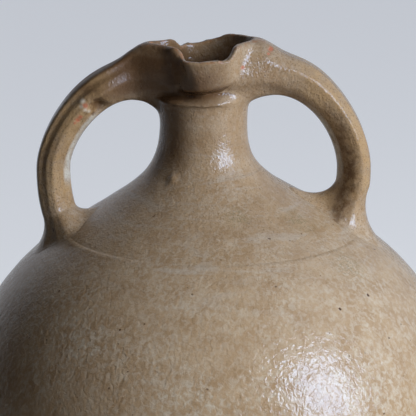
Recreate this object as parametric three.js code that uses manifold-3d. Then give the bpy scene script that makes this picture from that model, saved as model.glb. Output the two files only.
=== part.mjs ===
// A glazed stoneware jug: a round thrown belly, a shoulder section, a short neck that stands a little off
// the belly's axis, a pinched mouth and two pulled handles. Millimetres, +Z up, origin at the middle of
// the foot. The handles lie along X, and the lower side of the mouth faces -Y, which is the front.
import * as THREE from "three";
import { mergeVertices } from "three/addons/utils/BufferGeometryUtils.js";
import Module from "manifold-3d";

const wasm = await Module();
wasm.setup();

const { degToRad, euclideanModulo, lerp, smoothstep } = THREE.MathUtils;

// Belly
const footRadius = 68;
const footBevel = 2.5;
const footSplay = 44; // degrees from level at which the wall leaves the foot
const footRun = 55; // how strongly it holds that slope
const bellyRun = 67; // how strongly the belly holds its upright below the widest ring
const floorThickness = 11;
const bellyRadius = 152;
const bellyHeight = 153;
const bellyWall = 7;

// Shoulder: part of an ellipse up from the belly's widest ring, then a flank that sweeps up into the neck
const seamRise = 122; // from the widest ring to the throwing seam, where the flank starts
const seamRadius = 83.5;
const seamDepth = 0.7;
const seamWidth = 3.5;
const flankRun = 50; // how strongly the flank holds the slope of the shoulder

// Neck
const neckOffset = 5.2; // how far the neck stands off the belly's axis, towards the left handle
const neckJointRise = 35; // above the seam
const waistRise = 25; // above the joint
const collarRise = 15; // above the waist
const waistRadius = 25.2;
const waistRun = 30; // how strongly the flank holds the upright of the waist
const neckWall = 5.5;
const seatFlare = 1; // how far the neck opens out between its waist and the collar
const throwingGrooves = [3.4, 6.2]; // below the collar
const throwingDepth = 0.45;
const throwingWidth = 2;

// Mouth collar: a band round the top of the neck, pulled up and out into a lobe over each handle
const bandRise = 8.4; // from the foot of the collar to the undercut of its band
const bandClimb = 2.4; // how much higher the undercut is at the right handle
const bandStep = 1.5; // how far the band stands out over the undercut
const throwingRing = 0.9; // ring between the foot of the collar and the undercut
const mouthFlare = 1.8; // how far the lip stands out over the seat of the collar
const lipThickness = 4.6;
const lobeRise = 33.7; // from the foot of the collar to the lip over a handle
const lobeClimb = 1.2; // how much higher the right lobe is than the middle
const frontDip = { from: 245, to: 299, before: 15, after: 14, depth: 7.4 };
const backDip = { from: 100, to: 128, before: 58, after: 16, depth: 5.6 };
const rightLobe = { centre: 0, spread: 20, reach: 5.4 };
const leftLobe = { centre: 180, spread: 16, reach: 7.8 };
const frontPinch = { from: 206, to: 230, before: 22, after: 20, depth: 4.2 };
const backPinch = { from: 132, to: 152, before: 22, after: 20, depth: 3.4 };

// Handles: each a bow, measured out from the neck's axis and up or down from the foot of the collar.
// The runs say how strongly its middle line holds a direction before it turns, and the crest is how far
// the strap's outer face swells to meet the tip of the lobe over it
const bowInset = 5; // how far inside the seam it comes down, from the neck's axis
const bowBulge = 8.5; // how far it reaches out past where it comes down
const bowDrop = 40; // from the foot of the collar down to where it reaches furthest
const skirtRun = 14;
const landingRun = 14;
const leftBow = {
  side: -1,
  lobe: leftLobe,
  rootRise: 13.2,
  rootLift: 13, // degrees
  rootRun: 50,
  crest: 6.4,
  crownRun: 18,
  landingLean: 20, // degrees from upright
};
const rightBow = {
  side: 1,
  lobe: rightLobe,
  rootRise: 16,
  rootLift: 8,
  rootRun: 55,
  crest: 8,
  crownRun: 21,
  landingLean: 22,
};
const strapThickness = 19;
const strapWidth = 27;
const strapRoundness = 0.72; // 1 is an ellipse, and less is squarer
const rootFlare = { below: 12.5, width: 17, fade: 15 };
const landingFlare = { thickness: 4.5, width: 11, fade: 6.5 }; // the thickness on each face
const channel = { depth: 1.2, spread: 0.5 }; // along the outer face, as wide as a thumb
const groove = { depth: 1.1, place: 0.45, spread: 0.16 }; // along each side, under the outer bead
const clearance = 0.3; // between a handle and what it is luted to

// How finely the curves are cut
const turnSteps = 56;
const collarSteps = 72;
const lowerBellySteps = 9;
const shoulderSteps = 7;
const flankSteps = 12;
const waistSteps = 2;
const bowOverSteps = 18;
const bowDownSteps = 8;
const strapSteps = 24;

// Heights and radii that follow from the sizes above
const seamHeight = bellyHeight + seamRise;
const neckJointHeight = seamHeight + neckJointRise;
const waistHeight = neckJointHeight + waistRise;
const collarHeight = waistHeight + collarRise;
const crownRise = seamRise / Math.sqrt(1 - (seamRadius / bellyRadius) ** 2);
const seatRadius = waistRadius + seatFlare;
const mouthRadius = seatRadius + mouthFlare;
const bowLanding = seamRadius - bowInset;
const bowReach = bowLanding + bowBulge;

// Sideways place of the pot's centre at a height: on the belly's axis, then moving over to the neck's
function centreAt(height) {
  return -neckOffset * smoothstep(height, seamHeight, waistHeight);
}

// Plain outer wall from the foot up past the seat of the collar, as (radius, height) points
function wallOutline() {
  const points = lowerBellyCurve().getPoints(lowerBellySteps);
  for (let step = 1; step < shoulderSteps; step += 1) {
    const rise = seamRise * Math.sin((step / shoulderSteps) * (Math.PI / 2));
    const radius = bellyRadius * Math.sqrt(1 - (rise / crownRise) ** 2);
    points.push(new THREE.Vector2(radius, bellyHeight + rise));
  }
  points.push(...flankCurve().getPoints(flankSteps));
  for (let step = 1; step <= waistSteps; step += 1) {
    const share = step / waistSteps;
    const radius = lerp(waistRadius, seatRadius, share ** 2);
    points.push(new THREE.Vector2(radius, lerp(waistHeight, collarHeight, share)));
  }
  points.push(new THREE.Vector2(seatRadius, collarHeight + bandRise));
  return points;
}

// From the foot to the belly's widest ring
function lowerBellyCurve() {
  const splay = degToRad(footSplay);
  const foot = new THREE.Vector2(footRadius, footBevel);
  return new THREE.CubicBezierCurve(
    foot,
    new THREE.Vector2(Math.cos(splay), Math.sin(splay)).multiplyScalar(footRun).add(foot),
    new THREE.Vector2(bellyRadius, bellyHeight - bellyRun),
    new THREE.Vector2(bellyRadius, bellyHeight),
  );
}

// From the seam to the waist of the neck, starting in line with the ellipse
function flankCurve() {
  const seam = new THREE.Vector2(seamRadius, seamHeight);
  const slope = ((bellyRadius / crownRise) ** 2 * seamRise) / seamRadius;
  const inward = new THREE.Vector2(-slope, 1).normalize();
  return new THREE.CubicBezierCurve(
    seam,
    inward.multiplyScalar(flankRun).add(seam),
    new THREE.Vector2(waistRadius, waistHeight - waistRun),
    new THREE.Vector2(waistRadius, waistHeight),
  );
}

// The same outline with a groove pressed into it round one height
function withGroove(points, height, width, depth) {
  const low = height - width / 2;
  const high = height + width / 2;
  const at = (level, sunk) => new THREE.Vector2(radiusAtHeight(points, level) - sunk, level);
  return [
    ...points.filter((point) => point.y < low),
    at(low, 0),
    at(height, depth),
    at(high, 0),
    ...points.filter((point) => point.y > high),
  ];
}

// The outline moved square to itself: inwards by a positive depth, outwards by a negative one
function offsetOutline(points, depthAt) {
  return points.map((point, i) => {
    const before = points[Math.max(i - 1, 0)];
    const after = points[Math.min(i + 1, points.length - 1)];
    const along = after.clone().sub(before).normalize();
    const depth = depthAt(point.y);
    return new THREE.Vector2(point.x - along.y * depth, point.y + along.x * depth);
  });
}

function wallThickness(height) {
  return lerp(bellyWall, neckWall, smoothstep(height, seamHeight, waistHeight));
}

// Radius of an outline at a height that lies between its ends
function radiusAtHeight(points, height) {
  const i = Math.max(1, points.findIndex((point) => point.y >= height));
  const below = points[i - 1];
  const above = points[i];
  return lerp(below.x, above.x, (height - below.y) / (above.y - below.y));
}

// The stretch of an outline between two heights, cut level at both
function stretch(points, low, high) {
  const least = 0.05; // a point nearer than this to a cut is left out
  return [
    new THREE.Vector2(radiusAtHeight(points, low), low),
    ...points.filter((point) => point.y > low + least && point.y < high - least),
    new THREE.Vector2(radiusAtHeight(points, high), high),
  ];
}

const plainWall = wallOutline();
const innerWall = offsetOutline(plainWall, wallThickness);
const outerWall = throwingGrooves.reduce(
  (points, below) => withGroove(points, collarHeight - below, throwingWidth, throwingDepth),
  withGroove(plainWall, seamHeight, seamWidth, seamDepth),
);

// A closed (radius, height) outline turned round the pot's centre line
function turned(points) {
  const geometry = new THREE.LatheGeometry(points, turnSteps).rotateX(Math.PI / 2);
  const position = geometry.getAttribute("position");
  for (let i = 0; i < position.count; i += 1) {
    position.setX(i, position.getX(i) + centreAt(position.getZ(i)));
  }
  return solidFrom(geometry);
}

// A ring of the pot's wall between two heights
function wallSection(low, high) {
  const outside = stretch(outerWall, low, high);
  const inside = stretch(innerWall, low, high).reverse();
  return turned([...outside, ...inside, outside[0]]);
}

function lowerBody() {
  return turned([
    new THREE.Vector2(0, 0),
    new THREE.Vector2(footRadius - footBevel, 0),
    ...stretch(outerWall, footBevel, seamHeight),
    ...stretch(innerWall, floorThickness, seamHeight).reverse(),
    new THREE.Vector2(0, floorThickness),
  ]);
}

// A level dip, in degrees round the mouth, that fades in before it and out after it
function dip(angle, { from, to, before, after, depth }) {
  return depth * smoothstep(angle, from - before, from) * (1 - smoothstep(angle, to, to + after));
}

// A lobe that comes to a point
function lobe(angle, { centre, spread, reach }) {
  const away = Math.abs(euclideanModulo(angle - centre + 180, 360) - 180);
  return reach * Math.exp(-away / spread);
}

function lipHeight(angle) {
  const level = collarHeight + lobeRise + lobeClimb * Math.cos(degToRad(angle));
  return level - dip(angle, frontDip) - dip(angle, backDip);
}

function lipRadius(angle) {
  const pulled = lobe(angle, rightLobe) + lobe(angle, leftLobe);
  return mouthRadius + pulled - dip(angle, frontPinch) - dip(angle, backPinch);
}

// Outer face of the collar in one direction, from its foot to just under the lip: a low throwing ring,
// the undercut, the edge of the band and the band itself, which bows out more and more towards the lip
function collarFace(angle) {
  const undercut = bandRise + bandClimb * Math.cos(degToRad(angle));
  const bandFoot = collarHeight + undercut + bandStep;
  const bandRadius = seatRadius + bandStep;
  const face = [
    [seatRadius, collarHeight],
    [seatRadius + throwingRing, collarHeight + undercut * 0.35],
    [seatRadius, collarHeight + undercut * 0.72],
    [seatRadius + bandStep * 0.15, collarHeight + undercut],
    [bandRadius, bandFoot],
  ];
  const bandBow = 1.3;
  for (const share of [0.3, 0.6, 0.85]) {
    const radius = lerp(bandRadius, lipRadius(angle), share ** bandBow);
    face.push([radius, lerp(bandFoot, lipHeight(angle), share)]);
  }
  return face;
}

// Rounded lip and inner face in one direction, from the lip down to the neck's bore
function collarInside(angle) {
  const lip = lipHeight(angle);
  const outer = lipRadius(angle);
  const inner = outer - lipThickness;
  const edge = lipThickness * 0.2;
  const inside = [
    [outer - edge, lip - edge / 2],
    [outer - lipThickness / 2, lip],
    [inner + edge, lip - edge / 2],
  ];
  const throatBow = 2.4;
  for (const share of [0.9, 0.75, 0.55, 0.3, 0]) {
    const radius = lerp(seatRadius - neckWall, inner, share ** throatBow);
    inside.push([radius, lerp(collarHeight, lip, share)]);
  }
  return inside;
}

// Rings round the neck's axis, one for each point of the section that sectionAt gives
function ringsRound(sectionAt) {
  const angles = Array.from({ length: collarSteps }, (_, i) => (i / collarSteps) * 360);
  const sections = angles.map(sectionAt);
  return sections[0].map((_, level) =>
    sections.map((section, i) => {
      const [radius, height] = section[level];
      const turn = degToRad(angles[i]);
      return new THREE.Vector3(radius * Math.cos(turn) - neckOffset, radius * Math.sin(turn), height);
    }),
  );
}

function mouthCollar() {
  return skinned(ringsRound((angle) => [...collarFace(angle), ...collarInside(angle)]), true);
}

// What the handles are pressed on to: the filled pot and the filled collar, grown by the clearance
function luteSurface() {
  const grown = offsetOutline(plainWall, () => -clearance);
  const pot = turned([
    new THREE.Vector2(0, bellyHeight),
    ...stretch(grown, bellyHeight, collarHeight),
    new THREE.Vector2(0, collarHeight),
  ]);
  const collarSection = (angle) => {
    const face = collarFace(angle);
    const lip = [lipRadius(angle), lipHeight(angle)];
    const aboveLip = [lipRadius(angle), lipHeight(angle) + lobeRise];
    const belowCollar = [seatRadius, collarHeight - neckWall];
    return [belowCollar, ...face, lip, aboveLip].map(([radius, height]) => [radius + clearance, height]);
  };
  return pot.add(skinned(ringsRound(collarSection), false));
}

// Height of the pot's outer face where a bow comes down on it
function landingHeight(bow) {
  const radius = bowLanding - bow.side * neckOffset;
  const flank = plainWall.filter((point) => point.y >= bellyHeight);
  const i = flank.findIndex((point) => point.x <= radius);
  const inside = flank[i];
  const outside = flank[i - 1];
  return lerp(inside.y, outside.y, (radius - inside.x) / (outside.x - inside.x));
}

// Middle line of a bow: from inside the neck over to where it reaches furthest, and down to the shoulder
function bowCurves(bow) {
  const lift = degToRad(bow.rootLift);
  const lean = degToRad(bow.landingLean);
  const root = new THREE.Vector2(waistRadius / 2, collarHeight + bow.rootRise);
  const reach = new THREE.Vector2(bowReach, collarHeight - bowDrop);
  const landing = new THREE.Vector2(bowLanding, landingHeight(bow));
  const over = new THREE.CubicBezierCurve(
    root,
    new THREE.Vector2(Math.cos(lift), Math.sin(lift)).multiplyScalar(bow.rootRun).add(root),
    new THREE.Vector2(reach.x, reach.y + bow.crownRun),
    reach,
  );
  const down = new THREE.CubicBezierCurve(
    reach,
    new THREE.Vector2(reach.x, reach.y - skirtRun),
    new THREE.Vector2(Math.sin(lean), Math.cos(lean)).multiplyScalar(landingRun).add(landing),
    landing,
  );
  return { over, down };
}

// Points along a bow with the direction it runs in, the last one buried in the shoulder's wall
function bowStations(bow) {
  const { over, down } = bowCurves(bow);
  const onCurve = (curve, share) => ({ point: curve.getPoint(share), along: curve.getTangent(share) });
  const stations = [];
  for (let step = 0; step < bowOverSteps; step += 1) {
    stations.push(onCurve(over, step / bowOverSteps));
  }
  for (let step = 0; step <= bowDownSteps; step += 1) {
    stations.push(onCurve(down, step / bowDownSteps));
  }
  const { point, along } = stations.at(-1);
  stations.push({ point: along.clone().multiplyScalar(bellyWall).add(point), along });
  return stations;
}

// One section of the strap: a soft oblong with a thumb channel outside and a groove down each side,
// swelling where the strap leaves the neck and again where it is pressed on to the shoulder
function strapRing({ point, along }, bow, ground) {
  const fadeOut = (beyond, fade) => Math.exp(-Math.max(0, beyond) / fade);
  const nearRoot = fadeOut(point.x - waistRadius, rootFlare.fade);
  const nearLip = fadeOut(point.x - mouthRadius - bow.lobe.reach, rootFlare.fade);
  const nearLanding = fadeOut(point.y - ground, landingFlare.fade);
  const marked = (1 - nearRoot) * (1 - nearLanding);
  const face = strapThickness / 2 + landingFlare.thickness * nearLanding;
  const halfWidth = (strapWidth + rootFlare.width * nearRoot + landingFlare.width * nearLanding) / 2;
  const outward = new THREE.Vector2(-along.y, along.x);
  return Array.from({ length: strapSteps }, (_, i) => {
    const turn = (i / strapSteps) * Math.PI * 2;
    const out = Math.sign(Math.cos(turn)) * Math.abs(Math.cos(turn)) ** strapRoundness;
    const across = Math.sign(Math.sin(turn)) * Math.abs(Math.sin(turn)) ** strapRoundness;
    const swell = out > 0 ? bow.crest * nearLip : rootFlare.below * nearRoot;
    const hollow = out > 0 ? channel.depth * marked * Math.exp(-((across / channel.spread) ** 2)) : 0;
    const waist = groove.depth * marked * Math.exp(-(((out - groove.place) / groove.spread) ** 2));
    const place = outward.clone().multiplyScalar(out * (face + swell) - hollow).add(point);
    return new THREE.Vector3(bow.side * place.x - neckOffset, across * (halfWidth - waist), place.y);
  });
}

function handle(bow) {
  const rings = bowStations(bow).map((station) => strapRing(station, bow, landingHeight(bow)));
  return skinned(rings, false).subtract(luteBed);
}

// A closed solid from rings with equally many points: joined end to end, or capped at both ends
function skinned(rings, joined) {
  const around = rings[0].length;
  const points = rings.flat();
  const faces = [];
  const spans = joined ? rings.length : rings.length - 1;
  for (let i = 0; i < spans; i += 1) {
    const here = i * around;
    const next = ((i + 1) % rings.length) * around;
    for (let j = 0; j < around; j += 1) {
      const k = (j + 1) % around;
      faces.push(here + j, here + k, next + k, here + j, next + k, next + j);
    }
  }
  if (!joined) {
    addCap(points, faces, 0, around, true);
    addCap(points, faces, (rings.length - 1) * around, around, false);
  }
  const geometry = new THREE.BufferGeometry().setFromPoints(points);
  geometry.setIndex(faces);
  return solidFrom(geometry);
}

// Closes the ring of points that begins at start with a fan of triangles round its middle
function addCap(points, faces, start, around, flipped) {
  const middle = new THREE.Vector3();
  for (let j = 0; j < around; j += 1) {
    middle.addScaledVector(points[start + j], 1 / around);
  }
  const hub = points.push(middle) - 1;
  for (let j = 0; j < around; j += 1) {
    const here = start + j;
    const next = start + ((j + 1) % around);
    faces.push(...(flipped ? [hub, next, here] : [hub, here, next]));
  }
}

// A geometry as a solid with its faces outwards
function solidFrom(geometry) {
  geometry.deleteAttribute("normal");
  geometry.deleteAttribute("uv");
  const merged = mergeVertices(geometry, 1e-3);
  const vertProperties = merged.getAttribute("position").array;
  const build = (triVerts) => new wasm.Manifold(new wasm.Mesh({ numProp: 3, vertProperties, triVerts }));
  const triangles = new Uint32Array(merged.index.array).filter((_, i, all) => {
    const first = i - (i % 3);
    const [a, b, c] = [all[first], all[first + 1], all[first + 2]];
    return a !== b && b !== c && c !== a;
  });
  const solid = build(triangles);
  return solid.volume() > 0 ? solid : build(triangles.slice().reverse());
}

function namedMesh(name, solid, color) {
  const { vertProperties, triVerts } = solid.getMesh();
  const geometry = new THREE.BufferGeometry();
  geometry.setAttribute("position", new THREE.BufferAttribute(new Float32Array(vertProperties), 3));
  geometry.setIndex(new THREE.BufferAttribute(new Uint32Array(triVerts), 1));
  geometry.computeVertexNormals();
  const material = new THREE.MeshStandardMaterial({ color, roughness: 0.3, metalness: 0 });
  const mesh = new THREE.Mesh(geometry, material);
  mesh.name = name;
  return mesh;
}

const luteBed = luteSurface();
const jug = new THREE.Group();
jug.name = "jug";
jug.add(
  namedMesh("lower_body", lowerBody(), 0xb29d82),
  namedMesh("shoulder", wallSection(seamHeight, neckJointHeight), 0xb6a287),
  namedMesh("neck", wallSection(neckJointHeight, collarHeight), 0xad967a),
  namedMesh("mouth_collar", mouthCollar(), 0xb09a7f),
  namedMesh("left_handle", handle(leftBow), 0xab9478),
  namedMesh("right_handle", handle(rightBow), 0xae977b),
);

export default jug;
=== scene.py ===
"""The jug's looks: thrown and pulled clay under one mottled glaze, in metres, +Z up, front towards -Y."""

import math

import bpy
import numpy as np
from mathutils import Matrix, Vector
from mathutils.bvhtree import BVHTree
from mathutils.kdtree import KDTree


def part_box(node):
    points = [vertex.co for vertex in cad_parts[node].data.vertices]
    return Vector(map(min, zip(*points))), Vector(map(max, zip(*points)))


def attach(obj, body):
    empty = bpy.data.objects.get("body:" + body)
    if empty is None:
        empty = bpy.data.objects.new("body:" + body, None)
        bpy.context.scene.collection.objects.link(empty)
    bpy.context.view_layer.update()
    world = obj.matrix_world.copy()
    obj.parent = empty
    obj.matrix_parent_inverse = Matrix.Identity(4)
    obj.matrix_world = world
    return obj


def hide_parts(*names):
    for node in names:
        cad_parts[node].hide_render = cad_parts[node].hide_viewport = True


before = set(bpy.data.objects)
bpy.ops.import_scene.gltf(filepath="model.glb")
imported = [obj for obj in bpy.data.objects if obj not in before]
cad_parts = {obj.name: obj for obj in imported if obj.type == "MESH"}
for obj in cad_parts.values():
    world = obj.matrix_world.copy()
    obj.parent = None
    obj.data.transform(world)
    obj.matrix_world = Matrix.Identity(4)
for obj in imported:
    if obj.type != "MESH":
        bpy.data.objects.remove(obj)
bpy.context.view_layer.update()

MM = 0.001

# Sizes that the frame gives, in millimetres
belly_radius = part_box("lower_body")[1].x / MM
seam_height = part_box("lower_body")[1].z / MM
joint_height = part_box("shoulder")[1].z / MM
collar_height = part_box("neck")[1].z / MM

# Outline of the pot
foot_radius, foot_bevel, foot_splay, foot_run = 68, 2.5, 44, 55
belly_height, belly_run, crown_run = 153, 67, 49.2
seam_radius, seam_run_down, flank_run, flank_slope = 83.5, 50.6, 50, 32.3
waist_radius, waist_below_collar, waist_run = 25.2, 15, 30
floor_wall, belly_wall, neck_wall = 11, 7, 5.5
floor_run, floor_rise = 20, 30
neck_offset = 5.2

# Marks of throwing: finger rings that drift round the pot, and the seam where the shoulder was set on
ring_depth, ring_spacing, ring_drift, drift_height = 0.06, 10.5, 0.6, 23
rings_fade_in = (15, 60)
seam_depth, seam_width, seam_blend = 0.03, 3, 14

# Mouth, in degrees round it and millimetres
seat_radius, mouth_radius, lip_thickness = 26.2, 28, 4.6
lobe_rise, lobe_climb = 33.7, 1.2
band_rise, band_climb, band_step, throwing_ring = 10.2, 3.4, 1.4, 1.9
band_middle, band_spread = 0.28, 0.2
undercut, undercut_below, undercut_above = 4.4, 2.6, 2
outer_flare, bore_flare, bore_thumbed = 1.3, 2.2, 0.4
lobe_roundness = 3
lip_waves = ((0.28, 13, 1), (0.2, 29, 2), (0.16, 47, 0))
front_dip = dict(start=249, end=293, before=25, after=21, depth=7)
front_flare = dict(start=256, end=298, before=20, after=24, depth=4.8)
thumb_hollow = dict(centre=221, twist=56, spread=19, height=0.5, tall=0.3, depth=4.4)
collar_fold = dict(start=240, end=262, before=45, after=38, depth=1)
fold_slant = 22
neck_grooves = ((347, 0.4), (344.4, 0.3), (340.5, 0.15))
groove_width = 0.8
back_dip = dict(start=100, end=128, before=58, after=16, depth=5.6)
front_pinch = dict(start=200, end=234, before=20, after=16, depth=3)
back_pinch = dict(start=132, end=152, before=22, after=20, depth=3.4)
right_lobe = dict(centre=0, spread=20, reach=5.4)
left_lobe = dict(centre=180, spread=16, reach=7.8)

# Handles: each bow, and the foot that it stands on
bow_reach, bow_drop, skirt_run, landing_run = 87, 40, 14, 14
left_bow = dict(
    side=-1, root_rise=13.2, root_lift=13, root_run=50, narrow=14, splay=-0.25, keel=16,
    crest=8.5, crest_end=18, crest_fade=11, crown_run=18, lean=20, swell=4, landing=80.5,
    thicker=dict(at=48, run=24, out=0.9, inside=0.7),
    flutes=dict(groove=0.56, cut=1.6, bead=0.84, ridge=0.28, rib=-0.08, rim=-0.88, slope=0),
    foot=dict(rise=12, outer=13, inner=16, front=5, thumb=7),
)
right_bow = dict(
    side=1, root_rise=16, root_lift=8, root_run=55, narrow=0, splay=0.28, keel=11,
    crest=8.5, crest_end=16, crest_fade=11, crown_run=21, lean=22, swell=18, landing=79.5,
    thicker=dict(at=42, run=20, out=2.6, inside=0),
    flutes=dict(groove=0.74, cut=0.8, bead=0.9, ridge=0.08, rib=0.45, rim=-0.9, slope=0.27),
    foot=dict(rise=21, outer=20, inner=20, front=7, thumb=0),
)
strap_thickness, strap_width, outer_roundness, inner_roundness, foot_roundness = 20.2, 26, 0.78, 0.92, 1.3
root_fade = 26
waist_at, waist_spread = 27, 12
channel_depth, channel_width = 1.2, 0.5
keel_fade, slope_run, slope_width = (0.4, 0.85), (50, 90), 1.5
foot_begins, foot_fade = 0.72, 0.5

# Relief down a strap's side: how tall in millimetres, and how wide in half thicknesses
flute_forms = dict(rib=(1.3, 0.22), ridge=(0.4, 0.08), bead=(0.6, 0.09), rim=(0.9, 0.08))
flute_cut_width = 0.16

# A strap's foot: the thumb's place in degrees, and how its rim runs out, turns back and is tucked under
thumb_print = dict(centre=246, spread=38, share=0.85)
rim_out, rim_back, rim_down, rim_under, pressed_in = 4, 9, 1.8, 2, 0.25

# Where the clay is softened, and where the lip's edge is worn, in millimetres
crease_soft, crease_below = (3.5, 11), 30
lip_soft, lip_above, lip_out = (1.5, 5), 15, 9
lip_edge, lip_edge_out = (0.5, 2.2), 4

# Knocks and lumps, each a place, how wide and how deep, in millimetres
handle_knocks = [
    ((-66.6, -11.5, 349.3), 4, 2.6), ((-63.4, -9.5, 346), 3.8, 3.2), ((-67.6, -11.5, 342.9), 1.7, 1.3),
    ((-72.3, -12, 348.3), 1.5, 0.8), ((-74.4, -12.4, 349.8), 1.5, -0.7), ((-73.2, -12.4, 346.2), 1.4, -0.7),
    ((-71, -12.4, 344.6), 1.4, -0.7), ((-76.8, -12.4, 340), 2, 0.6), ((33.1, -9.7, 380.2), 2.2, 0.5),
]
joint_lumps = [((-22.4, -27.5, 309), 2.6, -1.3), ((-27, -26.5, 306.5), 1.8, 0.5), ((31, -24, 306), 3, -0.4)]

# Spots in the glaze, each a place and a radius: chips to the clay, iron, pale breaks, umber in the notch,
# green runs
chips = [
    ((17.1, -21.2, 371.5), 1.1), ((33.1, -9.7, 380.2), 1.4), ((31.8, -14.5, 378.2), 0.9),
    ((-72.3, -12.2, 348.3), 1.5), ((-75.2, -12.6, 341.6), 1.2), ((-76.8, -12.6, 340), 1.3),
    ((-78.4, -12.6, 338.5), 0.9),
]
iron_spots = [
    ((-85.4, -68.2, 254.5), 0.8), ((93, -22.5, 266.4), 0.7), ((86.2, -70, 252.7), 0.9),
    ((69.6, -89.4, 250.3), 0.8), ((-50.2, -107.8, 243.9), 0.5), ((20.9, -24.6, 364), 0.6),
]
pale_breaks = [
    ((-73.9, -12.3, 350.6), 1.3), ((-74.3, -12.4, 347.8), 1.1), ((-72.6, -12.3, 345.9), 1.1),
    ((-70.4, -12.3, 344.9), 0.9),
]
notch_umber = [((-65.6, -11, 348.3), 4), ((-67.6, -11.5, 342.9), 1.4)]
green_runs = [((48.7, -39.5, 287.3), 8), ((76.1, -57.6, 266.6), 9), ((14, -52, 292), 6)]

# The photo's camera: focal length and width in pixels, tilt in degrees, distance and aim in millimetres
focal_pixels, photo_pixels = 2400, 416
camera_tilt, camera_distance, aim_aside, aim_height = 14, 1392, -2.61, 285

# How finely the forms are made, how often they are smoothed, and how far cuts reach past what they cut
TURN_STEPS, NECK_STEPS = 288, 160
POT_CURVE, NECK_CURVE, BORE_CURVE = 36, 24, 14
FLANK_POINTS, BOW_POINTS, LINE_POINTS = 60, 200, 400
STRAP_SIDES, STRAP_STATIONS = 96, 160
SKIRT_START, TOE, SKIRT_TURN = 0.8, 0.94, 84
LANDING_ROUNDS, LANDING_STEP = 12, 0.8
SEAM_PASSES, CREASE_PASSES, LIP_PASSES, SKIN_PASSES = 60, 160, 14, 2
VOXEL = 0.7 * MM
WELD = 1e-6
SEAM_DROP = 1.3
CUT_GAP, CUT_SPARE, CORE_SPARE = 1.2, 3, 5
CORE_CLEAR, BORE_CLEAR = 12, 20


def only(piece):
    """Makes a piece the one that is selected and active."""
    bpy.ops.object.select_all(action="DESELECT")
    piece.select_set(True)
    bpy.context.view_layer.objects.active = piece
    return piece


def smoothstep(value, low, high):
    share = np.clip((value - low) / (high - low), 0, 1)
    return share * share * (3 - 2 * share)


def lerp(a, b, share):
    return a + (b - a) * share


def bump(value, middle, width):
    return np.exp(-(((value - middle) / width) ** 2))


def points_of(piece):
    points = np.empty(len(piece.data.vertices) * 3)
    piece.data.vertices.foreach_get("co", points)
    return points.reshape(-1, 3) / MM


def reshape(piece, move):
    """Sends every point of a piece, in millimetres, through move(points) -> points."""
    moved = move(points_of(piece))
    piece.data.vertices.foreach_set("co", (moved * MM).ravel())
    piece.data.update()
    return piece


def outline(name, knots, resolution):
    """A line in the XZ plane through knots of (radius, height, handle before, handle after)."""
    bpy.ops.object.select_all(action="DESELECT")
    bpy.ops.curve.primitive_bezier_curve_add()
    line = bpy.context.object
    line.name = name
    spline = line.data.splines[0]
    spline.bezier_points.add(len(knots) - len(spline.bezier_points))
    line.data.resolution_u = resolution
    for knot, (radius, height, before, after) in zip(spline.bezier_points, knots):
        knot.handle_left_type = knot.handle_right_type = "FREE"
        here = Vector((radius, 0, height))
        knot.co = here * MM
        knot.handle_left = (here + Vector((before[0], 0, before[1]))) * MM
        knot.handle_right = (here + Vector((after[0], 0, after[1]))) * MM
    only(line)
    bpy.ops.object.convert(target="MESH")
    return bpy.context.object


def turned(piece, steps=TURN_STEPS):
    """Spins an outline round the upright axis into a surface with its faces outwards."""
    only(piece)
    bpy.ops.object.mode_set(mode="EDIT")
    bpy.ops.mesh.select_all(action="SELECT")
    bpy.ops.mesh.spin(steps=steps, angle=math.tau, center=(0, 0, 0), axis=(0, 0, 1))
    bpy.ops.mesh.select_all(action="SELECT")
    bpy.ops.mesh.remove_doubles(threshold=10 * WELD)
    bpy.ops.mesh.normals_make_consistent(inside=False)
    bpy.ops.object.mode_set(mode="OBJECT")
    return piece


def modified(piece, kind, **settings):
    only(piece)
    modifier = piece.modifiers.new(kind, kind)
    for key, value in settings.items():
        setattr(modifier, key, value)
    bpy.ops.object.modifier_apply(modifier=modifier.name)
    return piece


def boolean(piece, other, operation):
    modified(piece, "BOOLEAN", object=other, operation=operation, solver="MANIFOLD")
    return piece


def copied(piece, name):
    twin = piece.copy()
    twin.data = piece.data.copy()
    twin.name = name
    bpy.context.scene.collection.objects.link(twin)
    return twin


def halved(piece, place, direction, keep_beyond, fill=False):
    """Cuts a piece at a plane and keeps what lies beyond it in its direction, or what lies before it."""
    only(piece)
    bpy.ops.object.mode_set(mode="EDIT")
    bpy.ops.mesh.select_all(action="SELECT")
    bpy.ops.mesh.bisect(
        plane_co=place, plane_no=direction, use_fill=fill,
        clear_inner=keep_beyond, clear_outer=not keep_beyond,
    )
    bpy.ops.object.mode_set(mode="OBJECT")
    return piece


def cut_level(piece, height, keep_above):
    """Cuts a piece level at a height and closes the cut."""
    return halved(piece, (0, 0, height * MM), (0, 0, 1), keep_above, fill=True)


def lean_over(points):
    """The neck stands off the belly's axis, and the pot's wall moves over to it above the seam."""
    points[:, 0] -= neck_offset * smoothstep(points[:, 2], seam_height, collar_height - waist_run)
    return points


def along(degrees, length):
    return (length * math.cos(math.radians(degrees)), length * math.sin(math.radians(degrees)))


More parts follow.
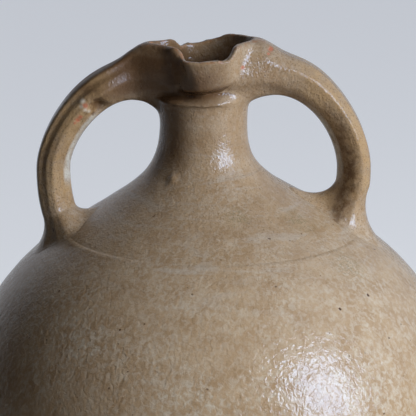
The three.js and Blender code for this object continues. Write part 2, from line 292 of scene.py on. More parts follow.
def throw_pot():
    """Belly and shoulder as one thrown wall, up to just past the joint at the foot of the neck."""
    flank = along(180 - flank_slope, 1)
    waist_height = collar_height - waist_below_collar
    knots = [
        (0, 0, (0, 0), (floor_run, 0)),
        (foot_radius - foot_bevel, 0, (-floor_run, 0), (foot_bevel * 0.5, 0)),
        (foot_radius, foot_bevel, (-0.5, -1), along(foot_splay, foot_run)),
        (belly_radius, belly_height, (0, -belly_run), (0, crown_run)),
        (seam_radius, seam_height, (-flank[0] * seam_run_down, -flank[1] * seam_run_down),
         (flank[0] * flank_run, flank[1] * flank_run)),
        (waist_radius, waist_height, (0, -waist_run), (0, 4)),
    ]
    pot = turned(outline("pot", knots, POT_CURVE))
    soft = pot.vertex_groups.new(name="seam")
    for vertex in pot.data.vertices:
        away = (vertex.co.z / MM - seam_height) / seam_blend
        soft.add([vertex.index], math.exp(-away * away), "REPLACE")
    modified(pot, "SMOOTH", factor=0.5, iterations=SEAM_PASSES, vertex_group="seam")
    reshape(pot, throwing_marks)
    reshape(pot, lean_over)
    weigh_wall(pot)
    modified(pot, "SOLIDIFY", thickness=floor_wall * MM, offset=-1, vertex_group="wall", use_even_offset=True)
    return pot


def throwing_marks(points):
    """Soft rings from the fingers, rising round the pot, and the faint seam where the shoulder was set on."""
    radius = np.hypot(points[:, 0], points[:, 1])
    angle, height = np.arctan2(points[:, 1], points[:, 0]), points[:, 2]
    fade = smoothstep(height, *rings_fade_in) * (1 + ring_drift * np.sin(3 * angle + height / drift_height))
    rings = ring_depth * np.sin(height * math.tau / ring_spacing - angle) * fade
    seam = seam_depth * bump(height, seam_height, seam_width)
    points[:, :2] *= (1 + (rings - seam) / np.maximum(radius, 1))[:, None]
    return points


def weigh_wall(pot):
    """Thickness of the wall at each point, as a share of the floor's."""
    group = pot.vertex_groups.new(name="wall")
    for vertex in pot.data.vertices:
        height = vertex.co.z / MM
        wall = lerp(floor_wall, belly_wall, smoothstep(height, foot_bevel, floor_rise))
        wall = lerp(wall, neck_wall, smoothstep(height, seam_height, collar_height))
        group.add([vertex.index], float(wall / floor_wall), "REPLACE")


def dip(angle, start, end, before, after, depth):
    """A level dip round the mouth that fades in before it and out after it."""
    return depth * smoothstep(angle, start - before, start) * (1 - smoothstep(angle, end, end + after))


def lobe(angle, centre, spread, reach):
    """How far the mouth is pulled out into a lobe, at degrees round it from the lobe's middle."""
    away = np.abs((angle - centre + 180) % 360 - 180)
    return reach * np.exp(-(np.sqrt(away ** 2 + lobe_roundness ** 2) - lobe_roundness) / spread)


def lip_height(angle):
    level = collar_height + lobe_rise + lobe_climb * np.cos(np.radians(angle))
    turn = np.radians(angle)
    ragged = sum(depth * np.sin(count * turn + start) for depth, count, start in lip_waves)
    return level + ragged - dip(angle, **front_dip) - dip(angle, **back_dip)


def lip_radius(angle):
    pulled = lobe(angle, **right_lobe) + lobe(angle, **left_lobe)
    pulled = pulled + dip(angle, **front_flare)
    return mouth_radius + pulled - dip(angle, **front_pinch) - dip(angle, **back_pinch)


def thumbed(angle, share):
    """How far the thumb has pressed the collar in at the front left, under the lip."""
    up = share - thumb_hollow["height"]
    away = (angle - thumb_hollow["centre"] + thumb_hollow["twist"] * up) / thumb_hollow["spread"]
    up = up / thumb_hollow["tall"]
    return thumb_hollow["depth"] * np.exp(-away ** 2 - up ** 2)


def pull_mouth(bow, hollowed):
    """Moves a turned collar's points out to the pulled lip.

    bow is how late the wall flares out, and hollowed how much of the thumb's mark shows. At the front
    left the flare lags behind lower down, so that the wall folds over on a slant.
    """
    def move(points):
        angle = np.degrees(np.arctan2(points[:, 1], points[:, 0])) % 360
        share = np.clip((points[:, 2] - collar_height) / lobe_rise, 0, 1)
        above = np.maximum(points[:, 2] - collar_height - lobe_rise, 0)
        radius = np.hypot(points[:, 0], points[:, 1])
        fold_angle = angle - fold_slant * (1 - share) * dip(angle, **collar_fold)
        pulled = (lip_radius(fold_angle) - mouth_radius) * share ** bow * (radius > 1)
        on_wall = (radius > mouth_radius / 2) * (share > 0)
        pulled = pulled - thumbed(angle, share) * hollowed * on_wall
        points[:, :2] *= ((radius + pulled) / np.maximum(radius, 1e-6))[:, None]
        climb = band_climb * np.cos(np.radians(angle)) * bump(share, band_middle, band_spread)
        lift = (lip_height(angle) - collar_height) * share + climb * (share > 0)
        points[:, 2] = np.where(share > 0, collar_height + lift + above, points[:, 2])
        points[:, 0] -= neck_offset
        return points
    return move


def neck_knots(grow=0):
    """The neck's outer wall from the joint up to the seat of the collar."""
    flank = along(180 - flank_slope, 1)
    waist_height = collar_height - waist_below_collar
    return [
        (seam_radius + grow, seam_height, (0, 0), (flank[0] * flank_run, flank[1] * flank_run)),
        (waist_radius + grow, waist_height, (0, -waist_run), (0, 5)),
        (seat_radius + grow, collar_height, (-0.2, -5), (0.6, 0.4)),
    ]


def filled_neck(name, grow=0, above=0):
    """Neck and collar as a solid without its bore, with the undercut under the collar's band."""
    under = collar_height + band_rise
    lip = collar_height + lobe_rise
    knots = [
        (0, seam_height, (0, 0), (10, 0)),
        *neck_knots(grow),
        (seat_radius + throwing_ring + grow, collar_height + band_rise * 0.1, (0, -0.9), (0, 1.8)),
        (seat_radius - undercut + grow, under - undercut_below, (0, -1.4), (0.1, 1.4)),
        (seat_radius + band_step + grow, under + undercut_above, (-1, -1), (0.7, 1.8)),
        (mouth_radius + grow, lip, (-0.6, -8), (0, above / 3)),
        (mouth_radius + grow, lip + above, (0, -above / 3), (0, 0)),
        (0, lip + above, (10, 0), (0, 0)),
    ]
    neck = turned(outline(name, knots, NECK_CURVE), NECK_STEPS)
    return reshape(neck, neck_in_place)


def neck_in_place(points):
    """Cuts the throwing grooves, leans the neck over and pulls its collar out."""
    low = points[:, 2] < collar_height
    high = ~low
    radius = np.maximum(np.hypot(points[:, 0], points[:, 1]), 1)
    for height, depth in neck_grooves:
        cut = depth * bump(points[:, 2], height, groove_width) * (radius > waist_radius / 2)
        points[:, :2] *= (1 - cut / radius)[:, None]
    points[low] = lean_over(points[low])
    points[high] = pull_mouth(outer_flare, 1)(points[high])
    return points


def neck_bore():
    """The space inside the neck and the mouth, up past the lip."""
    lip = collar_height + lobe_rise
    bore = seat_radius - neck_wall
    knots = [
        (0, seam_height - 1, (0, 0), (10, 0)),
        (seam_radius - belly_wall, seam_height - 1, (-5, 0), (-20, 12)),
        (waist_radius - neck_wall, collar_height - waist_below_collar, (0, -waist_run), (0, 5)),
        (bore, collar_height, (-0.2, -5), (0.4, 10)),
        (mouth_radius - lip_thickness, lip, (-1, -8), (0.3, 3)),
        (mouth_radius - lip_thickness, lip + BORE_CLEAR, (0, -3), (0, 0)),
        (0, lip + BORE_CLEAR, (10, 0), (0, 0)),
    ]
    space = turned(outline("bore", knots, BORE_CURVE), NECK_STEPS)
    return reshape(space, bore_in_place)


def bore_in_place(points):
    low = points[:, 2] < collar_height
    high = ~low
    points[low] = lean_over(points[low])
    points[high] = pull_mouth(bore_flare, bore_thumbed)(points[high])
    return points


def shoulder_height(radius):
    """Height of the pot's outer face at a distance from the belly's axis, on the shoulder and crown."""
    crown = (seam_height - belly_height) / math.sqrt(1 - (seam_radius / belly_radius) ** 2)
    on_crown = belly_height + crown * np.sqrt(np.clip(1 - (radius / belly_radius) ** 2, 0, 1))
    flank = along(180 - flank_slope, 1)
    share = np.linspace(0, 1, FLANK_POINTS)
    points = bezier(
        (seam_radius, seam_height),
        (seam_radius + flank[0] * flank_run, seam_height + flank[1] * flank_run),
        (waist_radius, collar_height - waist_below_collar - waist_run),
        (waist_radius, collar_height - waist_below_collar),
        share,
    )
    on_flank = np.interp(radius, points[::-1, 0], points[::-1, 1])
    return np.where(radius > seam_radius, on_crown, on_flank)


def bezier(a, b, c, d, share):
    """Points on a curve from a to d with handles b and c."""
    a, b, c, d = (np.array(point, float) for point in (a, b, c, d))
    t = np.asarray(share)[:, None]
    return a * (1 - t) ** 3 + 3 * b * t * (1 - t) ** 2 + 3 * c * t ** 2 * (1 - t) + d * t ** 3


def bow_line(bow):
    """Middle line of a handle, from the neck's axis out and down to the shoulder, evenly spaced."""
    from_axis = np.array([bow["landing"] - bow["side"] * neck_offset])
    landing = np.array([bow["landing"], shoulder_height(from_axis)[0]])
    root = np.array([waist_radius / 2, collar_height + bow["root_rise"]])
    reach = np.array([bow_reach, collar_height - bow_drop])
    lean = math.radians(bow["lean"])
    share = np.linspace(0, 1, BOW_POINTS)
    over = bezier(
        root, root + along(bow["root_lift"], bow["root_run"]), reach + (0, bow["crown_run"]), reach, share
    )
    upwards = np.array([math.sin(lean), math.cos(lean)])
    down = bezier(reach, reach - (0, skirt_run), landing + upwards * landing_run, landing, share)
    line = np.vstack([over, down[1:]])
    length = np.concatenate([[0], np.cumsum(np.hypot(*np.diff(line, axis=0).T))])
    even = np.linspace(0, length[-1], LINE_POINTS)
    return read_line(even, length, line), even


def read_line(places, length, line):
    """Values of a line with two columns at places along its length."""
    return np.stack([np.interp(places, length, line[:, axis]) for axis in range(2)], 1)


def directions(line):
    ahead = np.gradient(line, axis=0)
    return ahead / np.hypot(ahead[:, 0], ahead[:, 1])[:, None]


def strap(name, bow):
    """A handle: a grid wrapped round its bow, with a bead, a groove and a rib down each side."""
    bpy.ops.object.select_all(action="DESELECT")
    bpy.ops.mesh.primitive_grid_add(x_subdivisions=STRAP_SIDES, y_subdivisions=STRAP_STATIONS, size=2 * MM)
    piece = bpy.context.object
    piece.name = name
    reshape(piece, lambda points: wrap_strap(points, bow))
    only(piece)
    bpy.ops.object.mode_set(mode="EDIT")
    bpy.ops.mesh.select_all(action="SELECT")
    bpy.ops.mesh.remove_doubles(threshold=WELD)
    bpy.ops.mesh.fill_holes(sides=0)
    bpy.ops.mesh.normals_make_consistent(inside=False)
    bpy.ops.object.mode_set(mode="OBJECT")
    return piece


def section(turn, marked, at_foot, sloped, flutes):
    """The strap's section: how far out, how far across, and the relief of its bead, groove, rib and rim."""
    inside = lerp(inner_roundness, foot_roundness, at_foot)
    roundness = np.where(np.cos(turn) > 0, outer_roundness, inside)
    out = np.sign(np.cos(turn)) * np.abs(np.cos(turn)) ** roundness
    across = np.sign(np.sin(turn)) * np.abs(np.sin(turn)) ** roundness
    across = across * (1 - sloped * smoothstep(flutes["rib"] - out, 0, slope_width))
    groove = flutes["cut"] * bump(out, flutes["groove"], flute_cut_width)
    raised = sum(height * bump(out, flutes[form], width) for form, (height, width) in flute_forms.items())
    return out, across, (raised - groove) * marked


def wrap_strap(points, bow):
    """Wraps a flat grid round a bow: across the grid is round the strap, and up it is along the bow."""
    line, length = bow_line(bow)
    foot, flutes, thicker = bow["foot"], bow["flutes"], bow["thicker"]
    turn = (points[:, 0] + 1) / 2 * math.tau
    share = (points[:, 1] + 1) / 2
    place = np.minimum(share / SKIRT_START, 1) * (length[-1] - foot["rise"])
    ahead = directions(line)
    middle = read_line(place, length, line)
    direction = read_line(place, length, ahead)
    near_root = bump(place, 0, root_fade)
    near_lip = bump(np.maximum(0, place - bow["crest_end"]), 0, bow["crest_fade"])
    at_foot = smoothstep(share, SKIRT_START * foot_begins, SKIRT_START)
    above_foot = 1 - foot_fade * at_foot
    marked = (1 - near_root) * above_foot
    sloped = flutes["slope"] * smoothstep(place, *slope_run) * above_foot
    out, across, relief = section(turn, marked, at_foot, sloped, flutes)
    keeled = bow["keel"] * near_root * (1 - smoothstep(np.abs(across), *keel_fade))
    fuller = bump(place, thicker["at"], thicker["run"])
    swell_out = bow["crest"] * near_lip + thicker["out"] * fuller
    swell = np.where(out > 0, swell_out, keeled + thicker["inside"] * fuller)
    face = strap_thickness / 2 + swell
    channel = np.where(out > 0, channel_depth * marked * bump(across, 0, channel_width), 0)
    narrowed = bow["narrow"] * bump(place, waist_at, waist_spread)
    half_width = (strap_width + bow["swell"] * near_root - narrowed) / 2
    splayed = half_width * (1 - bow["splay"] * out * near_root)
    outward = np.stack([-direction[:, 1], direction[:, 0]], 1)
    offset = out * face - channel
    points[:, 0] = bow["side"] * (middle[:, 0] + outward[:, 0] * offset) - neck_offset
    points[:, 1] = across * (splayed + relief)
    points[:, 2] = middle[:, 1] + outward[:, 1] * offset
    plant_foot(points, share, turn, ahead[-1], bow)
    return points


def plant_foot(points, share, turn, ahead, bow):
    """Spreads the end of a strap over the shoulder it is pressed on, and tucks its rim under the surface."""
    foot = bow["foot"]
    planted = share > SKIRT_START
    edge = points[planted]
    down = np.array([bow["side"] * ahead[0], 0, ahead[1]])
    toe = edge.copy()
    for _ in range(LANDING_ROUNDS):
        toe += down * ((toe[:, 2] - ground(toe)) * LANDING_STEP)[:, None]
    out, across = np.cos(turn[planted]), np.sin(turn[planted])
    spread = np.stack([bow["side"] * out / strap_thickness, across / strap_width], 1)
    spread /= np.hypot(spread[:, 0], spread[:, 1])[:, None]
    reach = foot["outer"] * np.maximum(out, 0) ** 2 + foot["inner"] * np.maximum(-out, 0) ** 5
    reach = reach + foot["front"] * across ** 2
    degrees = np.degrees(turn[planted])
    thumb = bump(degrees, thumb_print["centre"], thumb_print["spread"]) * (foot["thumb"] > 0)
    flattened = thumb_print["share"] * thumb
    share = (share[planted] - SKIRT_START) / (TOE - SKIRT_START)
    pressed = np.clip(share, 0, 1)
    skirt = pressed * math.radians(SKIRT_TURN)
    beyond = np.maximum(share - 1, 0) * (TOE - SKIRT_START) / (1 - TOE)
    run_out, run_back = np.minimum(beyond * 2, 1), np.maximum(beyond * 2 - 1, 0)
    up = lerp(1 - np.sin(skirt), 0.5 + 0.5 * np.cos(pressed * math.pi), flattened)
    along_ground = reach * lerp(1 - np.cos(skirt), pressed, flattened) + foot["thumb"] * thumb * pressed
    along_ground = along_ground + rim_out * run_out - rim_back * run_back
    height = (edge[:, 2] - ground(edge)) * up - pressed_in * pressed ** 2
    placed = toe + (edge - toe) * up[:, None]
    placed[:, :2] += spread * along_ground[:, None]
    placed[:, 2] = ground(placed) + height - rim_down * run_out - rim_under * run_back
    points[planted] = placed


def ground(points):
    """Height of the pot's outer face under each point."""
    return shoulder_height(np.hypot(points[:, 0], points[:, 1]))


def clay_top():
    """Neck, collar and both handles pressed into one lump of clay, smoothed where they meet."""
    neck = cut_level(filled_neck("pressed_neck"), joint_height - CUT_SPARE, keep_above=True)
    top = copied(neck, "clay_top")
    straps = [strap("left_strap", left_bow), strap("right_strap", right_bow)]
    for handle in straps:
        boolean(top, handle, "UNION")
    modified(top, "REMESH", mode="VOXEL", voxel_size=VOXEL, adaptivity=0)
    weigh_creases(top, neck, straps)
    modified(top, "SMOOTH", factor=0.5, iterations=CREASE_PASSES, vertex_group="crease")
    bore = neck_bore()
    boolean(top, bore, "DIFFERENCE")
    modified(top, "REMESH", mode="VOXEL", voxel_size=VOXEL, adaptivity=0)
    weigh_lip(top)
    modified(top, "SMOOTH", factor=0.5, iterations=LIP_PASSES, vertex_group="lip")
    modified(top, "SMOOTH", factor=0.5, iterations=SKIN_PASSES)
    for tool in (neck, bore, *straps):
        bpy.data.objects.remove(tool)
    return top


def surface_of(piece):
    return BVHTree.FromObject(piece, bpy.context.evaluated_depsgraph_get())


def weigh_creases(top, neck, straps):
    """Marks the clay near the line where a strap's root meets the neck or collar."""
    faces = [surface_of(piece) for piece in (neck, *straps)]
    group = top.vertex_groups.new(name="crease")
    for vertex in top.data.vertices:
        if vertex.co.z < (collar_height - crease_below) * MM or abs(vertex.co.x) > 2 * mouth_radius * MM:
            continue
        neck_away = faces[0].find_nearest(vertex.co)[3] / MM
        strap_away = faces[1 if vertex.co.x < 0 else 2].find_nearest(vertex.co)[3] / MM
        away = max(neck_away, strap_away)
        weight = 1 - smoothstep(away, *crease_soft)
        if weight > 0:
            group.add([vertex.index], float(weight), "REPLACE")


def weigh_lip(top):
    """Marks the clay along the lip, which the potter's fingers have rounded."""
    group = top.vertex_groups.new(name="lip")
    for vertex in top.data.vertices:
        x, y, z = vertex.co / MM
        if z < collar_height + lip_above or math.hypot(x + neck_offset, y) > mouth_radius + lip_out:
            continue
        angle = math.degrees(math.atan2(y, x + neck_offset)) % 360
        weight = 1 - smoothstep(lip_height(angle) - z, *lip_soft)
        group.add([vertex.index], float(weight), "REPLACE")


def press(piece, marks):
    """Presses a piece in, or raises it where the depth is below nought, round places in millimetres."""
    normals = np.empty(len(piece.data.vertices) * 3)
    piece.data.vertices.foreach_get("normal", normals)
    normals = normals.reshape(-1, 3)

    def move(points):
        for place, width, depth in marks:
            away = np.linalg.norm(points - np.array(place), axis=1)
            points = points - normals * (depth * bump(away, 0, width))[:, None]
        return points
    return reshape(piece, move)


def note(piece, name, values):
    """Keeps a number for each point of a piece, for its glaze to follow."""
    kept = piece.data.attributes.new(name, "FLOAT", "POINT")
    kept.data.foreach_set("value", np.asarray(values, np.float32))


def note_bow(piece, bow):
    """How far each point lies outside the middle line of its bow, in half thicknesses."""
    line, _ = bow_line(bow)
    ahead = directions(line)
    tree = KDTree(len(line))
    for number, (radius, height) in enumerate(line):
        tree.insert((radius, height, 0), number)
    tree.balance()
    points = points_of(piece)
    flat = np.stack([bow["side"] * (points[:, 0] + neck_offset), points[:, 2]], 1)
    nearest = np.array([tree.find((radius, height, 0))[1] for radius, height in flat])
    away = flat - line[nearest]
    outside = away[:, 1] * ahead[nearest, 0] - away[:, 0] * ahead[nearest, 1]
    note(piece, "outside_bow", outside / (strap_thickness / 2))


def note_lip(piece):
    """One along the edge of the lip, falling to nought just under it."""
    points = points_of(piece)
    angle = np.degrees(np.arctan2(points[:, 1], points[:, 0] + neck_offset)) % 360
    radius = np.hypot(points[:, 0] + neck_offset, points[:, 1])
    edge = 1 - smoothstep(lip_height(angle) - points[:, 2], *lip_edge)
    note(piece, "on_lip", edge * (radius < lip_radius(angle) + lip_edge_out))


def in_pieces(top):
    """Cuts the lump of clay into the neck, the mouth collar and the two handles."""
    core = cut_level(filled_neck("core", CUT_GAP, CORE_CLEAR), joint_height - CORE_SPARE, keep_above=True)
    middle = copied(top, "middle")
    boolean(middle, core, "INTERSECT")
    boolean(top, core, "DIFFERENCE")
    bpy.data.objects.remove(core)
    right = copied(top, "right_handle_clay")
    halves = [(top, "left_handle_clay", False), (right, "right_handle_clay", True)]
    pieces = {}
    for piece, name, keep_right in halves:
        halved(piece, (-neck_offset * MM, 0, 0), (1, 0, 0), keep_right)
        piece.name = name
        pieces[name] = piece
    collar = copied(middle, "mouth_collar_clay")
    cut_level(collar, collar_height, keep_above=True)
    cut_level(middle, collar_height, keep_above=False)
    cut_level(middle, joint_height, keep_above=True)
    middle.name = "neck_clay"
    return {**pieces, "neck_clay": middle, "mouth_collar_clay": collar}


class Nodes:
    """A short way to lay out the nodes of a material or a world."""

    def __init__(self, owner, shader="Principled BSDF", places="Object"):
        owner.use_nodes = True
        self.owner, self.tree = owner, owner.node_tree
        self.shader = self.tree.nodes[shader]
        self.place = self.add("TexCoord").outputs[places]

    def add(self, kind, **settings):
        node = self.tree.nodes.new("ShaderNode" + kind)
        for key, value in settings.items():
            setattr(node, key, value)
        return node

    def set(self, node, name, value):
        socket = node.inputs[name]
        if hasattr(value, "is_output"):
            self.tree.links.new(value, socket)
        else:
            socket.default_value = value

    def math(self, operation, first, second=0.0):
        node = self.add("Math", operation=operation)
        self.set(node, 0, first)
        self.set(node, 1, second)
        return node.outputs[0]

    def times(self, product, *factors):
        for factor in factors:
            product = self.math("MULTIPLY", product, factor)
        return product

    def spared(self, value, share=1.0):
        """One where a value is nought, and less by a share of it elsewhere."""
        return self.math("SUBTRACT", 1, self.times(value, share))

    def stretched(self, across, up):
        """Places drawn out sideways or upright, for a pattern that runs that way."""
        node = self.add("Mapping")
        self.set(node, "Vector", self.place)
        node.inputs["Scale"].default_value = (across, across, up)
        return node.outputs[0]

    def noise(self, size, detail=3, roughness=0.55, distortion=0.0, vector=None):
        """Cloudy noise whose lumps are about size millimetres."""
        node = self.add("TexNoise")
        self.set(node, "Vector", vector or self.place)
        node.inputs["Scale"].default_value = 1 / (size * MM)
        node.inputs["Detail"].default_value = detail
        node.inputs["Roughness"].default_value = roughness
        node.inputs["Distortion"].default_value = distortion
        return node.outputs[0]

    def step(self, value, low, high, bottom=0.0, top=1.0):
        """Goes softly from bottom to top as a value goes from low to high."""
        node = self.add("MapRange", interpolation_type="SMOOTHSTEP")
        self.set(node, "Value", value)
        for name, number in (("From Min", low), ("From Max", high), ("To Min", bottom), ("To Max", top)):
            node.inputs[name].default_value = number
        return node.outputs[0]

    def near(self, spots, soft, depth=1.0):
        """One inside ragged spots, each a place and a radius in millimetres, and nought outside them.

        With a depth under one the spots reach further from front to back.
        """
        ragged = self.noise(1.3, 3, 0.65)
        drawn_out = (1, depth, 1)
        place_here = self.add("VectorMath", operation="MULTIPLY")
        self.set(place_here, 0, self.place)
        place_here.inputs[1].default_value = drawn_out
        inside = None
        for place, radius in spots:
            node = self.add("VectorMath", operation="DISTANCE")
            self.set(node, 0, place_here.outputs[0])
            node.inputs[1].default_value = Vector(place) * Vector(drawn_out) * MM
            edge = self.math("ADD", node.outputs["Value"], self.times(ragged, 2 * radius * MM))
            spot = self.step(edge, radius * MM * (2 + soft), radius * MM * (2 - soft))
            inside = spot if inside is None else self.math("MAXIMUM", inside, spot)
        return inside

    def mix(self, factor, first, second):
        node = self.add("Mix", data_type="RGBA")
        self.set(node, 0, factor)
        self.set(node, 6, first if hasattr(first, "is_output") else (*first, 1))
        self.set(node, 7, second if hasattr(second, "is_output") else (*second, 1))
        return node.outputs[2]

    def noted(self, name):
        return self.add("Attribute", attribute_name=name).outputs["Fac"]

    def axis(self, number):
        """Distance along x, y or z, in metres."""
        node = self.add("SeparateXYZ")
        self.set(node, 0, self.place)
        return node.outputs[number]


tan, toasted, cream = (0.385, 0.283, 0.184), (0.3, 0.2, 0.115), (0.49, 0.443, 0.374)
ash_grey, pale_ash, ochre = (0.42, 0.395, 0.36), (0.5, 0.49, 0.46), (0.36, 0.235, 0.115)
umber, iron, moss = (0.1, 0.052, 0.024), (0.07, 0.03, 0.016), (0.11, 0.11, 0.05)
bare_clay, rust = (0.33, 0.115, 0.058), (0.26, 0.12, 0.055)


def base_coat(clay, aside, up, on_strap):
    """Tan and toasted glaze with cream curls and pits, and a grey film in streaks on the shoulder."""
    on_shoulder = clay.step(up, 0.235, 0.28)
    colour = clay.mix(clay.step(clay.noise(12, 5), 0.25, 0.75), tan, toasted)
    curls = clay.noise(2.8, 4, 0.62, 0.5, clay.stretched(1, 0.8))
    crowd = clay.step(clay.noise(45, 2), 0.35, 0.65, 0.32, 0.68)
    crowd = clay.times(crowd, clay.spared(on_shoulder, 0.4))
    colour = clay.mix(clay.times(clay.step(curls, 0.4, 0.66), crowd), colour, cream)
    pits = clay.step(clay.noise(1.1, 3, 0.6), 0.55, 0.72, 0, 0.45)
    colour = clay.mix(pits, colour, toasted)
    streaks = clay.noise(9, 5, 0.65, 0.6, clay.stretched(0.22, 1.9))
    film = clay.times(clay.step(streaks, 0.5, 0.68, 0, 0.4), on_shoulder)
    film = clay.times(film, clay.step(aside, -0.09, -0.02, 0.4, 1))
    if on_strap:
        film = clay.times(film, clay.step(up, 0.295, 0.27))
    film = clay.times(film, clay.step(up, 0.318, 0.335, 1, 0.25))
    return clay.mix(film, colour, ash_grey)


def painted_left_shade(clay, aside, up):
    """Painted shade: umber on the left of the collar and neck, the side away from the lamp, spared where the
    collar's front is lit and along the lip.
    """
    left_shade = clay.times(clay.step(up, 0.345, 0.358, 0, 0.93), clay.step(aside, -0.007, 0.013, 1, 0.06))
    lit_front = clay.times(clay.step(up, 0.364, 0.376, 0, 0.6), clay.step(aside, -0.02, -0.008))
    left_shade = clay.times(left_shade, clay.spared(lit_front), clay.step(up, 0.374, 0.38, 1, 0.3))
    left_shade = clay.times(left_shade, clay.spared(clay.noted("on_lip"), 0.45))
    shaded_neck_flank = clay.times(clay.step(aside, -0.008, -0.023, 0, 0.75), clay.step(up, 0.305, 0.325))
    return clay.math("MAXIMUM", left_shade, clay.times(shaded_neck_flank, clay.step(aside, -0.048, -0.038)))


def painted_groove_shade(clay, colour, aside, up):
    """Painted shade: umber in the groove under the collar's band, where the undercut lies in shade."""
    grooved = clay.math("SUBTRACT", up, clay.times(aside, band_climb / seat_radius))
    groove_shade = clay.times(clay.step(grooved, 0.353, 0.3565), clay.step(grooved, 0.3635, 0.3585))
    return clay.mix(clay.times(groove_shade, 0.85), colour, umber)


def strap_ochre_shade_and_sheen(clay, colour, aside, up):
    """Ochre patches in a strap's glaze, painted shade in umber on its flank and on the left strap's outer
    rim, the sides away from the lamp, and painted sheen along its inner rim.
    """
    outside = clay.noted("outside_bow")
    above_foot = clay.step(up, 0.282, 0.298)
    out_from_neck = clay.math("ABSOLUTE", clay.math("ADD", aside, neck_offset * MM))
    ochred = clay.times(clay.step(clay.noise(8, 4, 0.6), 0.35, 0.6, 0.1, 0.6), above_foot)
    ochred = clay.times(ochred, clay.step(out_from_neck, 0.045, 0.066))
    colour = clay.mix(ochred, colour, ochre)
    # Painted shade: umber on a strap's flank that faces away from the lamp, strong on the right strap, faint
    # on the left.
    flank = clay.times(clay.step(outside, -0.9, -0.6), clay.step(outside, 0.6, -0.35))
    flank = clay.times(flank, clay.step(aside, 0.055, 0.08, 0.15, 0.95))
    patches = clay.step(clay.noise(5, 5, 0.7), 0.38, 0.6, 0.3, 1)
    colour = clay.mix(clay.times(flank, patches), colour, umber)
    # Painted sheen: pale ash along a strap's inner rim, where it catches the light and the backdrop's
    # reflection.
    painted_rim_sheen = clay.times(clay.step(outside, -0.6, -0.78), clay.step(outside, -1.16, -1.04))
    painted_rim_sheen = clay.times(painted_rim_sheen, clay.step(clay.noise(5), 0.35, 0.6, 0.45, 0.85))
    painted_rim_sheen = clay.times(painted_rim_sheen, clay.step(out_from_neck, 0.055, 0.068), clay.step(up, 0.298, 0.307))
    colour = clay.mix(painted_rim_sheen, colour, pale_ash)
    # Painted shade: umber along the left strap's outer rim, which faces away from the lamp.
    shaded_outer_rim = clay.times(clay.step(outside, 0.8, 0.95, 0, 0.75), clay.step(aside, -0.03, -0.06), above_foot)
    return clay.mix(shaded_outer_rim, colour, umber)


def specks(clay, colour, up, peppered):
    """Pepper, iron, green runs, the worn edge of the lip, umber in the left strap's notch, and pale breaks.
    """
    pepper = clay.step(clay.noise(0.9, 2, 0.6), 0.55, 0.7, 0, peppered)
    colour = clay.mix(clay.times(pepper, clay.step(up, 0.24, 0.3, 0.25, 1)), colour, umber)
    colour = clay.mix(clay.step(clay.noise(3.2, 1, 0.4), 0.77, 0.8, 0, 0.7), colour, iron)
    threads = clay.noise(2.4, 3, 0.7, 1.4, clay.stretched(0.6, 1.6))
    threads = clay.step(clay.math("ABSOLUTE", clay.math("SUBTRACT", threads, 0.5)), 0.035, 0.008)
    colour = clay.mix(clay.times(clay.near(green_runs, 0.9), clay.times(threads, 0.65)), colour, moss)
    colour = clay.mix(clay.near(iron_spots, 0.3), colour, iron)
    worn = clay.times(clay.noted("on_lip"), clay.step(clay.noise(3, 3, 0.6), 0.42, 0.6, 0, 0.75))
    colour = clay.mix(worn, colour, rust)
    # Umber in the dents of the left strap's notch.
    colour = clay.mix(clay.times(clay.near(notch_umber, 0.5, 0.3), 0.85), colour, umber)
    return clay.mix(clay.times(clay.near(pale_breaks, 0.9, 0.3), 0.5), colour, pale_ash)


def surface(clay, aside, up, chipped):
    """The glaze's fine rolling relief, and its gloss, which is duller at the left root and in the chips."""
    peel = clay.add("Bump")
    peel.inputs["Distance"].default_value = 0.46 * MM
    clay.set(peel, "Strength", clay.step(up, 0.22, 0.31, 1, 0.75))
    pitted = clay.times(clay.noise(1.3, 2, 0.5), clay.step(up, 0.24, 0.31, 0.1, 0.8))
    rolling = clay.noise(2.6, 2, 0.5, 0.6, clay.stretched(1, 0.85))
    clay.set(peel, "Height", clay.math("ADD", rolling, pitted))
    clay.set(clay.shader, "Normal", peel.outputs[0])
    gloss = clay.step(clay.noise(5, 3), 0.3, 0.7, 0.08, 0.19)
    dull_root = clay.times(clay.step(aside, -0.036, -0.046), clay.step(up, 0.345, 0.355, 0, 0.28))
    gloss = clay.math("ADD", gloss, dull_root)
    clay.set(clay.shader, "Roughness", clay.math("ADD", gloss, clay.times(chipped, 0.45)))


def glaze(name, on_strap, top_brown_and_shade, peppered):
    """Ash glaze over red clay. Heights and distances aside, in metres, say where each layer shows."""
    clay = Nodes(bpy.data.materials.new(name))
    aside, up = clay.axis(0), clay.axis(2)
    colour = base_coat(clay, aside, up, on_strap)
    # Umber in patches towards the top: partly browner glaze, partly painted shade on the upright neck, collar
    # and handles.
    patches = clay.step(clay.noise(18, 3), 0.3, 0.7, 0.6, 1)
    colour = clay.mix(clay.times(clay.step(up, 0.25, 0.32, 0, top_brown_and_shade), patches), colour, umber)
    # Painted shade: umber on the left of the collar and neck, away from the lamp.
    colour = clay.mix(painted_left_shade(clay, aside, up), colour, umber)
    # The pot gets painted shade in the groove under the collar; a strap gets its ochre, painted shade and
    # painted sheen.
    layer = strap_ochre_shade_and_sheen if on_strap else painted_groove_shade
    colour = specks(clay, layer(clay, colour, aside, up), up, peppered)
    chipped = clay.near(chips, 0.6, 0.3)
    clay.set(clay.shader, "Base Color", clay.mix(chipped, colour, bare_clay))
    surface(clay, aside, up, chipped)
    return clay.owner


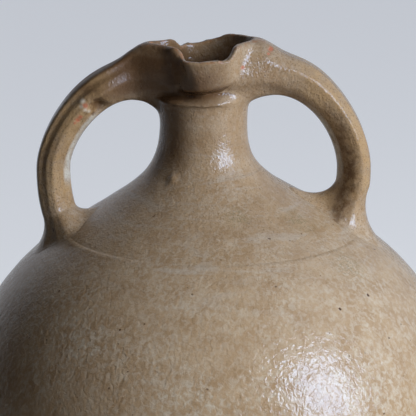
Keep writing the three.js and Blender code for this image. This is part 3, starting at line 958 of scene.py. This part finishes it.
lower_body = throw_pot()
lower_body.name = "lower_body_clay"
shoulder = copied(lower_body, "shoulder_clay")
cut_level(lower_body, seam_height - SEAM_DROP, keep_above=False)
cut_level(shoulder, seam_height - SEAM_DROP, keep_above=True)
cut_level(shoulder, joint_height, keep_above=False)
clay = {"lower_body_clay": lower_body, "shoulder_clay": shoulder, **in_pieces(clay_top())}
for piece in clay.values():
    press(piece, handle_knocks + joint_lumps)
    note_lip(piece)
note_bow(clay["left_handle_clay"], left_bow)
note_bow(clay["right_handle_clay"], right_bow)
pot_glaze, strap_glaze = glaze("ash_glaze", False, 0.3, 0.45), glaze("strap_glaze", True, 0.35, 0.7)
for name, piece in clay.items():
    piece.data.materials.clear()
    piece.data.materials.append(strap_glaze if "handle" in name else pot_glaze)
    only(piece)
    bpy.ops.object.shade_smooth_by_angle(angle=math.radians(50))
    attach(piece, "root")
    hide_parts(name.removesuffix("_clay"))

bpy.ops.mesh.primitive_plane_add(size=40)
floor = bpy.context.object
floor.name = "floor"
paper = Nodes(bpy.data.materials.new("paper"))
paper.shader.inputs["Base Color"].default_value = (0.46, 0.45, 0.43, 1)
paper.shader.inputs["Roughness"].default_value = 0.9
paper.shader.inputs["Emission Color"].default_value = (0.53, 0.56, 0.62, 1)


def backdrop(nodes, near, far):
    """Camera rays, mirror rays, and how bright each finds the backdrop: mirror rays see it only behind."""
    rays = nodes.add("LightPath")
    camera_ray, mirror_ray = rays.outputs["Is Camera Ray"], rays.outputs["Is Glossy Ray"]
    behind = nodes.step(nodes.axis(1), near, far, 0.03, 0.7)
    return camera_ray, mirror_ray, nodes.math("MAXIMUM", camera_ray, nodes.times(mirror_ray, behind))


*_, seen = backdrop(paper, 0.3, 1.4)
paper.set(paper.shader, "Emission Strength", paper.times(seen, 0.93))
floor.data.materials.append(paper.owner)

world = bpy.data.worlds.new("room")
bpy.context.scene.world = world
air = Nodes(world, "Background", "Generated")
camera_ray, mirror_ray, seen = backdrop(air, 0.3, 0.9)
tint = air.mix(air.math("MAXIMUM", camera_ray, mirror_ray), (0.8, 0.6, 0.4), (0.57, 0.6, 0.66))
air.set(air.shader, "Color", tint)
air.set(air.shader, "Strength", air.math("MAXIMUM", seen, 0.035))


lamps_aim = Vector((0, 0, 0.28))


def lamp(name, size, aim, distance, energy, colour):
    """A soft lamp that faces the jug's shoulder from a direction."""
    data = bpy.data.lights.new(name, "AREA")
    data.shape = "RECTANGLE"
    data.size, data.size_y = size
    data.energy, data.color = energy, colour
    made = bpy.data.objects.new(name, data)
    bpy.context.scene.collection.objects.link(made)
    aim = Vector(aim).normalized()
    made.location = lamps_aim + aim * distance
    made.rotation_euler = aim.to_track_quat("Z", "Y").to_euler()
    return made


window = (0.74, -0.55, 0.39)
lamp("window_light", (0.9, 1.1), window, 1.7, 45, (0.92, 0.96, 1)).visible_glossy = False
lamp("window_shine", (0.72, 0.86), window, 1.66, 25, (0.5, 0.68, 1)).visible_diffuse = False
back_light = lamp("back_light", (1.5, 1.3), (-0.3, 0.94, 0.12), 1.9, 26, (0.95, 0.97, 1))
back_light.visible_glossy = back_light.visible_camera = False
jug = bpy.data.collections.new("jug")
for piece in clay.values():
    jug.objects.link(piece)
back_light.light_linking.receiver_collection = jug
lamp("sky_shine", (3.2, 3.2), (0.75, 0.15, 0.64), 2.5, 20, (0.45, 0.74, 1)).visible_diffuse = False

camera_data = bpy.data.cameras.new("camera")
camera = bpy.data.objects.new("camera", camera_data)
bpy.context.scene.collection.objects.link(camera)
camera_data.lens = focal_pixels / photo_pixels * camera_data.sensor_width
tilt = math.radians(camera_tilt)
back, rise = camera_distance * math.cos(tilt), camera_distance * math.sin(tilt)
camera.location = Vector((aim_aside, -back, aim_height + rise)) * MM
camera.rotation_euler = (math.pi / 2 - tilt, 0, 0)
bpy.context.scene.camera = camera
bpy.context.scene.view_settings.view_transform = "Standard"
